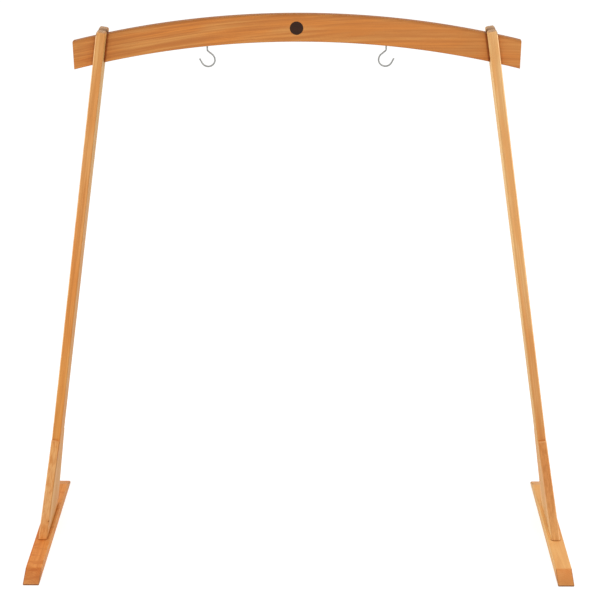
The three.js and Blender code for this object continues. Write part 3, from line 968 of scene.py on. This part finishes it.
def plated_metal(name, bright, dull, low_gloss, high_gloss):
    """A metal whose colour and gloss vary a little in soft patches, with fine drawing lines as relief."""
    material = bpy.data.materials.new(name)
    material.use_nodes = True
    tree = material.node_tree
    tree.nodes.clear()
    place = add(tree, "TexCoord").outputs["Object"]
    patches = add(tree, "TexNoise", {"Vector": place, "Scale": 320.0, "Detail": 4.0}).outputs["Fac"]
    fine = add(tree, "TexNoise", {"Vector": place, "Scale": 2600.0, "Detail": 2.0}).outputs["Fac"]
    tone = mix_colours(tree, between(tree, patches, 0.35, 0.65), bright, dull)
    rough = between(tree, patches, 0.3, 0.7, low_gloss, high_gloss)
    relief = add(tree, "Bump", {"Height": fine, "Distance": 0.00003, "Strength": 0.5})
    surface = {"Base Color": tone, "Roughness": rough, "Normal": relief.outputs[0], "Metallic": 1.0}
    shader = add(tree, "BsdfPrincipled", surface)
    add(tree, "OutputMaterial", {"Surface": shader.outputs[0]})
    return material


zinc = plated_metal("bright zinc", colour(158, 158, 154), colour(126, 127, 124), 0.24, 0.40)
brass = plated_metal("turned brass", colour(222, 190, 120), colour(190, 154, 86), 0.25, 0.40)
print("metals:", zinc.name, brass.name)

# %% [markdown]
# ## Turning a bmesh into a piece
#
# Every piece below is shaped in a bmesh and handed over in the same way. Its object stays at the origin, so
# its place is in its mesh. Smooth shading alone would make the flat faces look swollen next to their rounded
# edges, so a Weighted Normal modifier lets the large flat faces decide the shading, and edges sharper than
# about 35 degrees stay crisp. A small Bevel modifier can ease the edges that a cut has left, because no real
# saw cut stays razor sharp.

# %% Handing a piece over
def make_piece(shape, name, body, nodes, material):
    """Makes an object of a bmesh, puts it on its body, and hides its CAD nodes."""
    mesh = bpy.data.meshes.new(name)
    shape.to_mesh(mesh)
    shape.free()
    mesh.materials.append(material)
    piece = bpy.data.objects.new(name, mesh)
    scene.collection.objects.link(piece)
    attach(piece, body)
    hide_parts(*nodes)
    return piece


# %% Shading a piece
CRISP_ANGLE = math.radians(35)
EASED_ANGLE = math.radians(50)


def smooth_off(piece, eased=0.0):
    """Gives a piece its shading, and eases its cut edges where a width for that is given."""
    piece.data.shade_smooth()
    if eased:
        modifier = piece.modifiers.new("Eased cuts", "BEVEL")
        modifier.width = eased
        modifier.segments = 2
        modifier.limit_method = "ANGLE"
        modifier.angle_limit = EASED_ANGLE
    else:
        piece.data.set_sharp_from_angle(angle=CRISP_ANGLE)
    shading = piece.modifiers.new("Flat faces lead", "WEIGHTED_NORMAL")
    shading.keep_sharp = True
    count = len(piece.data.polygons)
    print(piece.name, count, "faces, from", show(piece.bound_box[0]), "to", show(piece.bound_box[6]))


# %% [markdown]
# ## Sawing, boring and rounding over
#
# Real boards are sawn, bored and run past a router, and each of those has a helper here. A saw cut that
# takes a whole side away is a plane, so bisect_plane makes it and the open edge is filled. A bore, a slot or
# a notch is a closed shape that a Boolean modifier takes away. Its result becomes the mesh at once, so the
# modifiers that finish the piece start from a plain shape. A router bit is a bevel with a few segments.

# %% Helpers that shape a bmesh
def of_kind(geometry, kind):
    """The parts of one kind, such as edges, among what an operator has returned."""
    return [part for part in geometry if isinstance(part, kind)]


def block(shape, low, high):
    """Adds a box between two corners."""
    made = bmesh.ops.create_cube(shape, size=1.0)["verts"]
    size = [top - bottom for bottom, top in zip(low, high)]
    middle = [(top + bottom) / 2 for bottom, top in zip(low, high)]
    bmesh.ops.scale(shape, verts=made, vec=size)
    bmesh.ops.translate(shape, verts=made, vec=middle)


def rod(shape, radius, bottom, top, x, y, sides=48):
    """Adds an upright round bar, capped at both ends."""
    bar = {"cap_ends": True, "segments": sides, "radius1": radius, "radius2": radius, "depth": top - bottom}
    made = bmesh.ops.create_cone(shape, **bar)["verts"]
    bmesh.ops.translate(shape, verts=made, vec=(x, y, (top + bottom) / 2))
    return made


def slice_off(shape, place, outward):
    """Cuts a shape with a plane, throws away what lies outward of it, and closes the cut."""
    everything = shape.verts[:] + shape.edges[:] + shape.faces[:]
    cut = bmesh.ops.bisect_plane(shape, geom=everything, plane_co=place, plane_no=outward, clear_outer=True)
    rim = of_kind(cut["geom_cut"], bmesh.types.BMEdge)
    bmesh.ops.edgeloop_fill(shape, edges=rim)
    return [edge for edge in rim if edge.is_valid]


def round_over(shape, edges, radius, segments=5):
    """Rounds edges over, as a router bit does."""
    bmesh.ops.bevel(
        shape, geom=edges, offset=radius, segments=segments, profile=0.5, affect="EDGES",
        clamp_overlap=True, material=-1,
    )


# %% A helper that cuts a piece
def cut_away(piece, cutter):
    """Cuts the closed shapes of a bmesh out of a piece, and keeps the result as the piece's mesh."""
    tool_mesh = bpy.data.meshes.new("cutter")
    cutter.to_mesh(tool_mesh)
    cutter.free()
    tool = bpy.data.objects.new("cutter", tool_mesh)
    scene.collection.objects.link(tool)
    modifier = piece.modifiers.new("Cut", "BOOLEAN")
    modifier.operation = "DIFFERENCE"
    modifier.solver = "EXACT"
    modifier.object = tool
    evaluated = piece.evaluated_get(bpy.context.evaluated_depsgraph_get())
    old_mesh = piece.data
    piece.data = bpy.data.meshes.new_from_object(evaluated)
    piece.modifiers.clear()
    piece.data.name = old_mesh.name
    bpy.data.meshes.remove(old_mesh)
    bpy.data.objects.remove(tool)
    bpy.data.meshes.remove(tool_mesh)


# %% [markdown]
# ## The crossbar
#
# The crossbar is sawn from a plank along two arcs with one centre, far below, and cut off square to the
# floor at its ends. A section with rounded corners, spun about that centre, gives the whole arc at once with
# an even rounding, which is why spin is chosen rather than bending a long box. The spin goes a little too
# far, and two planes slice the ends off upright. Then the notches, the hook bores and the inlay's recess are
# cut.

# %% The crossbar's arc
ARC_STEPS = 96
ARC_OVERRUN = 0.01
SAWN_EDGE_ROUND = 0.002

crossbar_shape = bmesh.new()
section = bmesh.ops.create_grid(crossbar_shape, x_segments=1, y_segments=1, size=0.5)["verts"]
bmesh.ops.scale(crossbar_shape, verts=section, vec=(CROSSBAR_HEIGHT, CROSSBAR_THICKNESS, 1))
bmesh.ops.bevel(
    crossbar_shape, geom=section, offset=EDGE_ROUND, segments=5, profile=0.5, affect="VERTICES", material=-1,
)
bmesh.ops.delete(crossbar_shape, geom=crossbar_shape.faces[:], context="FACES_ONLY")
spread = math.asin(CROSSBAR_LENGTH / 2 / under_radius) + ARC_OVERRUN
upright = Matrix.Rotation(-math.pi / 2, 4, "Y")
raised = Matrix.Translation((0, LEG_SETBACK, crossbar_z))
bmesh.ops.transform(crossbar_shape, matrix=raised @ upright, verts=crossbar_shape.verts)
arc_centre = Vector((0, 0, arc_z))
to_start = Matrix.Rotation(-spread, 3, "Y")
bmesh.ops.rotate(crossbar_shape, cent=arc_centre, matrix=to_start, verts=crossbar_shape.verts)
bmesh.ops.spin(
    crossbar_shape, geom=crossbar_shape.verts[:] + crossbar_shape.edges[:], cent=arc_centre, axis=(0, 1, 0),
    angle=2 * spread, steps=ARC_STEPS, use_merge=False,
)
for _, side in SIDES:
    rim = slice_off(crossbar_shape, (side * CROSSBAR_LENGTH / 2, 0, 0), (side, 0, 0))
    round_over(crossbar_shape, rim, SAWN_EDGE_ROUND, 3)
bmesh.ops.recalc_face_normals(crossbar_shape, faces=crossbar_shape.faces)
crossbar = make_piece(
    crossbar_shape, "crossbar_board", "crossbar_unit", ["crossbar"], crossbar_wood,
)

# %% The crossbar's notches, bores and recess
HOOK_SPACING = 0.560
HOOK_WIRE = 0.005
HOOK_THREAD_LENGTH = 0.034
CUTTER_OVERRUN = 0.01
NOTCH_CUTTER_HALF = 0.05
NOTCH_CUTTER_DROP = 0.06
CROSSBAR_EASED = 0.0005

hook_root = arc_height(under_radius, HOOK_SPACING / 2)
bore_top = hook_root + HOOK_THREAD_LENGTH + SEAT_GAP
recess_depth = INLAY_THICKNESS + SEAT_GAP
cuts = bmesh.new()
for _, side in SIDES:
    near, far = sorted((side * notch_inner, side * notch_outer))
    low = (near, -NOTCH_CUTTER_HALF, slot_floor - NOTCH_CUTTER_DROP)
    block(cuts, low, (far, NOTCH_CUTTER_HALF, slot_floor + SEAT_GAP))
    bore_place = (side * HOOK_SPACING / 2, LEG_SETBACK)
    rod(cuts, HOOK_WIRE / 2 + SEAT_GAP, hook_root - CUTTER_OVERRUN, bore_top, *bore_place)
recess = rod(cuts, INLAY_DIAMETER / 2 + SEAT_GAP, 0, recess_depth + CUTTER_OVERRUN, 0, 0, 96)
face_y = LEG_SETBACK - CROSSBAR_THICKNESS / 2
facing_front = Matrix.Rotation(math.pi / 2, 4, "X")
recess_floor = Matrix.Translation((0, face_y + recess_depth, crossbar_z))
bmesh.ops.transform(cuts, matrix=recess_floor @ facing_front, verts=recess)
cut_away(crossbar, cuts)
smooth_off(crossbar, CROSSBAR_EASED)

# %% [markdown]
# ## The inlay
#
# A disc of dark wood is let into the middle of the crossbar's face, flush with it. Sanding leaves its rim
# very slightly eased, and that thin line of shade is what tells the eye that it is a separate piece.

# %% The inlay
INLAY_EDGE = 0.0006

inlay_shape = bmesh.new()
bmesh.ops.create_circle(inlay_shape, cap_ends=True, segments=96, radius=INLAY_DIAMETER / 2)
disc = bmesh.ops.extrude_face_region(inlay_shape, geom=inlay_shape.faces[:])["geom"]
disc_face = of_kind(disc, bmesh.types.BMFace)[0]
disc_top = of_kind(disc, bmesh.types.BMVert)
bmesh.ops.translate(inlay_shape, verts=disc_top, vec=(0, 0, INLAY_THICKNESS))
bmesh.ops.recalc_face_normals(inlay_shape, faces=inlay_shape.faces)
round_over(inlay_shape, list(disc_face.edges), INLAY_EDGE, 3)
flush = Matrix.Translation((0, face_y + INLAY_THICKNESS, crossbar_z))
bmesh.ops.transform(inlay_shape, matrix=flush @ facing_front, verts=inlay_shape.verts)
inlay = make_piece(inlay_shape, "inlay_disc", "crossbar_unit", ["crossbar_inlay"], inlay_wood)
smooth_off(inlay)

# %% [markdown]
# ## The hooks
#
# A screw hook is one length of round wire. It leaves the thread as a straight shank, bends at the neck, runs
# down a short flank, goes round the loop and ends in an open tip. A circle swept through those five
# stretches is the wire itself: straight stretches are extruded, and bends are spun about their own centres.
# Angles are measured in the XZ plane, so turning from X towards Z is a turn about -Y.

# %% Ways to lead a wire on
def point_along(start, angle, distance):
    """The point at a distance from another, at an angle in the XZ plane."""
    return Vector((start[0] + distance * math.cos(angle), 0, start[2] + distance * math.sin(angle)))


def run_straight(shape, rim, step, shrink=1.0):
    """Draws the wire's open end out along a step, and can make it thinner on the way."""
    grown = bmesh.ops.extrude_edge_only(shape, edges=rim)["geom"]
    ends = of_kind(grown, bmesh.types.BMVert)
    bmesh.ops.translate(shape, verts=ends, vec=step)
    if shrink != 1.0:
        middle = sum((end.co for end in ends), Vector()) / len(ends)
        bmesh.ops.scale(shape, verts=ends, vec=(shrink, shrink, 1), space=Matrix.Translation(-middle))
    edges = of_kind(grown, bmesh.types.BMEdge)
    return [edge for edge in edges if all(corner in ends for corner in edge.verts)]


def run_bend(shape, rim, centre, angle, steps):
    """Spins the wire's open end about a centre. A positive angle turns from X towards Z."""
    corners = list({corner for edge in rim for corner in edge.verts})
    turned = bmesh.ops.spin(
        shape, geom=corners + rim, cent=centre, axis=(0, -1, 0), angle=angle, steps=steps, use_merge=False,
    )
    return of_kind(turned["geom_last"], bmesh.types.BMEdge)


# %% The hooks
HOOK_LOOP_RADIUS = 0.0215
HOOK_LOOP_OFFSET = 0.0015
HOOK_DROP = 0.067
HOOK_OPEN_DEGREES = 208
HOOK_TIP_LENGTH = 0.016
HOOK_TIP_ROUND = 0.0016
HOOK_NECK_RADIUS = 0.007
HOOK_NECK_DEGREES = 50
HOOK_POINT_LENGTH = 0.007
HOOK_POINT_SHRINK = 0.3


def hook_shape():
    """One hook, hanging from the origin, with its tip towards -X."""
    quarter = math.pi / 2
    opening = math.radians(HOOK_OPEN_DEGREES)
    bend_angle = math.radians(HOOK_NECK_DEGREES)
    loop = Vector((HOOK_LOOP_OFFSET, 0, HOOK_LOOP_RADIUS - HOOK_DROP))
    loop_start = point_along(loop, opening, HOOK_LOOP_RADIUS)
    tip_end = point_along(loop_start, opening - quarter, HOOK_TIP_LENGTH)
    loop_end = point_along(loop, bend_angle, HOOK_LOOP_RADIUS)
    flank = (loop_end.x - HOOK_NECK_RADIUS * (1 - math.cos(bend_angle))) / math.sin(bend_angle)
    flank_end = point_along(loop_end, bend_angle + quarter, flank)
    neck = point_along(flank_end, bend_angle, HOOK_NECK_RADIUS)

    shape = bmesh.new()
    bmesh.ops.create_circle(shape, cap_ends=True, segments=20, radius=HOOK_WIRE / 2)
    tip_rim = shape.edges[:]
    across_wire = Matrix.Rotation(-opening, 4, "Y")
    bmesh.ops.transform(shape, matrix=Matrix.Translation(tip_end) @ across_wire, verts=shape.verts)
    rim = run_straight(shape, shape.edges[:], point_along(Vector(), opening + quarter, HOOK_TIP_LENGTH))
    rim = run_bend(shape, rim, loop, bend_angle + 2 * math.pi - opening, 56)
    rim = run_straight(shape, rim, point_along(Vector(), bend_angle + quarter, flank))
    rim = run_bend(shape, rim, neck, -bend_angle, 12)
    rim = run_straight(shape, rim, (0, 0, HOOK_THREAD_LENGTH - HOOK_POINT_LENGTH - neck.z))
    rim = run_straight(shape, rim, (0, 0, HOOK_POINT_LENGTH), HOOK_POINT_SHRINK)
    bmesh.ops.edgeloop_fill(shape, edges=rim)
    bmesh.ops.recalc_face_normals(shape, faces=shape.faces)
    round_over(shape, tip_rim, HOOK_TIP_ROUND, 4)
    return shape


for label, side in SIDES:
    wire = hook_shape()
    facing_out = Matrix.Rotation(math.pi if side > 0 else 0, 4, "Z")
    hung = Matrix.Translation((side * HOOK_SPACING / 2, LEG_SETBACK, hook_root))
    bmesh.ops.transform(wire, matrix=hung @ facing_out, verts=wire.verts)
    hook = make_piece(wire, f"{label}_hook_wire", "crossbar_unit", [f"hook_{label}"], zinc)
    smooth_off(hook)

# %% [markdown]
# ## The shape of the legs
#
# Each leg is a plain board with a long wedge glued to its front edge and another to its rear, so that it
# flares where it meets the foot. The maker glues the three together and then runs the router round them,
# which is why the rounding passes over the glue lines. The lesson does the same: one outline, rounded as a
# whole, leaned, levelled at the base, and then sliced into the pole and its wedges with a hair's breadth
# between them. The outline is drawn lying down, and a matrix stands it up, with its X as depth and its Y as
# height. The wedges take more rounding than the pole, so the blank is made again for each. The top is sanded
# into a low dome, by drawing the last rings of the blank inwards along a quarter circle.

# %% The leg's outline
BASE_OVERRUN = 0.010

wedge_slope = (WEDGE_BASE_DEPTH - WEDGE_TOP_DEPTH) / WEDGE_LENGTH


def board_from_outline(outline, thickness):
    """A board whose outline is given in X and Y, with half its thickness on each side of that plane."""
    shape = bmesh.new()
    shape.faces.new([shape.verts.new((a, b, -thickness / 2)) for a, b in outline])
    grown = bmesh.ops.extrude_face_region(shape, geom=shape.faces[:])["geom"]
    bmesh.ops.translate(shape, verts=of_kind(grown, bmesh.types.BMVert), vec=(0, 0, thickness))
    bmesh.ops.recalc_face_normals(shape, faces=shape.faces)
    return shape


def leg_outline():
    """The leg's outline in depth and height, wedges and all."""
    base = half_pole + WEDGE_BASE_DEPTH + BASE_OVERRUN * wedge_slope
    shoulder = half_pole + WEDGE_TOP_DEPTH
    wedge = [(base, -BASE_OVERRUN), (shoulder, WEDGE_LENGTH)]
    right = wedge + [(half_pole, WEDGE_LENGTH), (half_pole, POLE_LENGTH)]
    return [(-a, b) for a, b in right[::-1]] + right


print("the leg's outline:", [show(corner) for corner in leg_outline()])

# %% The leg's blank
DOME_DEPTH = 0.010
DOME_INSET = 0.0045
DOME_RINGS = 5
TOUCHING = 1e-6
CLEARLY_APART = 0.001

leg_base = FOOT_THICKNESS + SEAT_GAP
side_view = Matrix(((0, 0, 1, 0), (1, 0, 0, 0), (0, 1, 0, 0), (0, 0, 0, 1)))


def is_wedge_corner(edge):
    """Whether an edge of the blank is the inner corner between the pole and the top of a wedge."""
    first, second = edge.verts
    crosswise = abs(first.co.z - second.co.z) > CLEARLY_APART
    at_pole = abs(abs(first.co.x) - half_pole) < TOUCHING
    return crosswise and at_pole and abs(first.co.y - WEDGE_LENGTH) < TOUCHING


def dome(shape):
    """Rounds an upright leg's top further, by drawing its last rings inwards along a quarter circle."""
    for step in range(1, DOME_RINGS + 1):
        place = (0, POLE_LENGTH - DOME_DEPTH * step / DOME_RINGS, 0)
        everything = shape.verts[:] + shape.edges[:] + shape.faces[:]
        bmesh.ops.bisect_plane(shape, geom=everything, plane_co=place, plane_no=(0, 1, 0))
    for corner in shape.verts:
        rise = max(0.0, 1 - (POLE_LENGTH - corner.co.y) / DOME_DEPTH)
        inset = DOME_INSET * (1 - math.sqrt(1 - min(rise, 1.0) ** 2))
        corner.co.z *= 1 - inset / (POLE_THICKNESS / 2)
        corner.co.x *= 1 - inset / half_pole


def whole_leg(side, radius):
    """The leg as one blank, rounded over, leaned, standing on its foot."""
    shape = board_from_outline(leg_outline()[::-1], POLE_THICKNESS)
    round_over(shape, [edge for edge in shape.edges if not is_wedge_corner(edge)], radius)
    dome(shape)
    bmesh.ops.transform(shape, matrix=side_view, verts=shape.verts)
    leaned = Matrix.Rotation(-side * lean, 4, "Y")
    stood = Matrix.Translation((side * foot_x, LEG_SETBACK, FOOT_THICKNESS))
    bmesh.ops.transform(shape, matrix=stood @ leaned, verts=shape.verts)
    rim = slice_off(shape, (0, 0, leg_base), (0, 0, -1))
    round_over(shape, rim, SAWN_EDGE_ROUND, 3)
    return shape


# %% The poles and wedges
BOLT_SPACING = 0.160
BOLT_HOLE_RADIUS = 0.0046
INSERT_HOLE_RADIUS = 0.0063
BOLT_HOLE_TOP = 0.0678
INSERT_HOLE_TOP = 0.0561
LEG_DRILL_START = 0.02
POLE_EASED = 0.0006
WEDGE_EASED = 0.0002
POLE_SKIM = 0.00001
SLOT_CUTTER_HALF = 0.6
SLOT_CUTTER_TOP = 2.2


def drill_pair(piece, radius, bottom, top, side):
    """Drills a piece from below for the front and the rear bolt of one leg."""
    drill = bmesh.new()
    for end in (-1, 1):
        rod(drill, radius, bottom, top, side * foot_x, LEG_SETBACK + end * BOLT_SPACING / 2, 32)
    cut_away(piece, drill)


def cut_slot(pole, side):
    """Saws the slot for the crossbar down into a pole's top."""
    slot = bmesh.new()
    half = CROSSBAR_THICKNESS / 2 + SEAT_GAP
    low = (side * foot_x - SLOT_CUTTER_HALF, LEG_SETBACK - half, slot_floor)
    block(slot, low, (side * foot_x + SLOT_CUTTER_HALF, LEG_SETBACK + half, SLOT_CUTTER_TOP))
    cut_away(pole, slot)


for label, side in SIDES:
    pole_shape = whole_leg(side, LEG_EDGE_ROUND)
    for end in (-1, 1):
        slice_off(pole_shape, (0, LEG_SETBACK + end * (half_pole - POLE_SKIM), 0), (0, end, 0))
    node = f"{label}_leg_pole"
    pole = make_piece(pole_shape, f"{label}_pole", "side_frames", [node], pole_wood[side])
    wedges = []
    for place, end in (("front", -1), ("rear", 1)):
        wedge_shape = whole_leg(side, WEDGE_EDGE_ROUND)
        slice_off(wedge_shape, (0, LEG_SETBACK + end * (half_pole + SEAT_GAP), 0), (0, -end, 0))
        node = f"{label}_leg_{place}_wedge"
        name = f"{label}_{place}_wedge"
        wedges.append(make_piece(wedge_shape, name, "side_frames", [node], wedge_wood[side]))
    for piece in (pole, *wedges):
        drill_pair(piece, BOLT_HOLE_RADIUS, LEG_DRILL_START, BOLT_HOLE_TOP, side)
        drill_pair(piece, INSERT_HOLE_RADIUS, LEG_DRILL_START, INSERT_HOLE_TOP, side)
    cut_slot(pole, side)
    smooth_off(pole, POLE_EASED)
    for wedge in wedges:
        smooth_off(wedge, WEDGE_EASED)

# %% [markdown]
# ## The shape of the feet
#
# Each foot is a flat board whose ends are planed down to thin tips, so that nobody trips over them. Its
# outline is drawn from the side and given its width. The corners at its rear are rounded well over, and then
# the router goes round every edge. Two counterbored holes let the leg's bolts come up from below, and their
# heads stay clear of the floor.

# %% The feet
COUNTERBORE_RADIUS = 0.009
COUNTERBORE_DEPTH = 0.012
REAR_CORNER_ROUND = 0.009
FOOT_DRILL_START = -0.01
FOOT_DRILL_TOP = 0.04
FOOT_EASED = 0.0006
ROUNDED_ANGLE = math.radians(15)


def is_rear_corner(edge):
    """Whether an edge is one of the two short upright ones at a foot's rear tip."""
    first, second = edge.verts
    at_rear = min(first.co.x, second.co.x) > foot_tip - TOUCHING
    return at_rear and abs(first.co.y - second.co.y) > CLEARLY_APART


right = [(foot_tip, 0), (foot_tip, FOOT_TIP_HEIGHT), (foot_flat, FOOT_THICKNESS)]
left = [(-a, b) for a, b in right]
for label, side in SIDES:
    foot_shape = board_from_outline([left[0], *right, left[2], left[1]], FOOT_WIDTH)
    round_over(foot_shape, [edge for edge in foot_shape.edges if is_rear_corner(edge)], REAR_CORNER_ROUND, 8)
    clear_edges = [edge for edge in foot_shape.edges if edge.calc_face_angle(0.0) > ROUNDED_ANGLE]
    round_over(foot_shape, clear_edges, FOOT_EDGE_ROUND)
    laid = Matrix.Translation((side * foot_x, 0, 0))
    bmesh.ops.transform(foot_shape, matrix=laid @ side_view, verts=foot_shape.verts)
    name = f"{label}_foot_board"
    foot = make_piece(foot_shape, name, "side_frames", [f"{label}_foot"], foot_wood[side])
    drill_pair(foot, BOLT_HOLE_RADIUS, FOOT_DRILL_START, FOOT_DRILL_TOP, side)
    drill_pair(foot, COUNTERBORE_RADIUS, FOOT_DRILL_START, COUNTERBORE_DEPTH, side)
    smooth_off(foot, FOOT_EASED)

# %% [markdown]
# ## The hardware inside
#
# The bolts, washers and inserts are hidden in the wood, and their CAD shapes are already right, so those
# nodes stay. They only need real materials in place of the plain ones that they were packed with.

# %% Materials for the nodes that stay
METALS = {"bolt": zinc, "washer": zinc, "insert": brass}

for name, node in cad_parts.items():
    for word, metal in METALS.items():
        if word in name:
            for slot in node.material_slots:
                slot.material = metal
            print(name, "is now", metal.name)

# %% [markdown]
# ## Measuring the finished stand
#
# The finished pieces may not be larger than the CAD model. The last cell prints the finished stand's box.

# %% The finished box
low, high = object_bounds()
print("finished box from", show(low), "to", show(high))
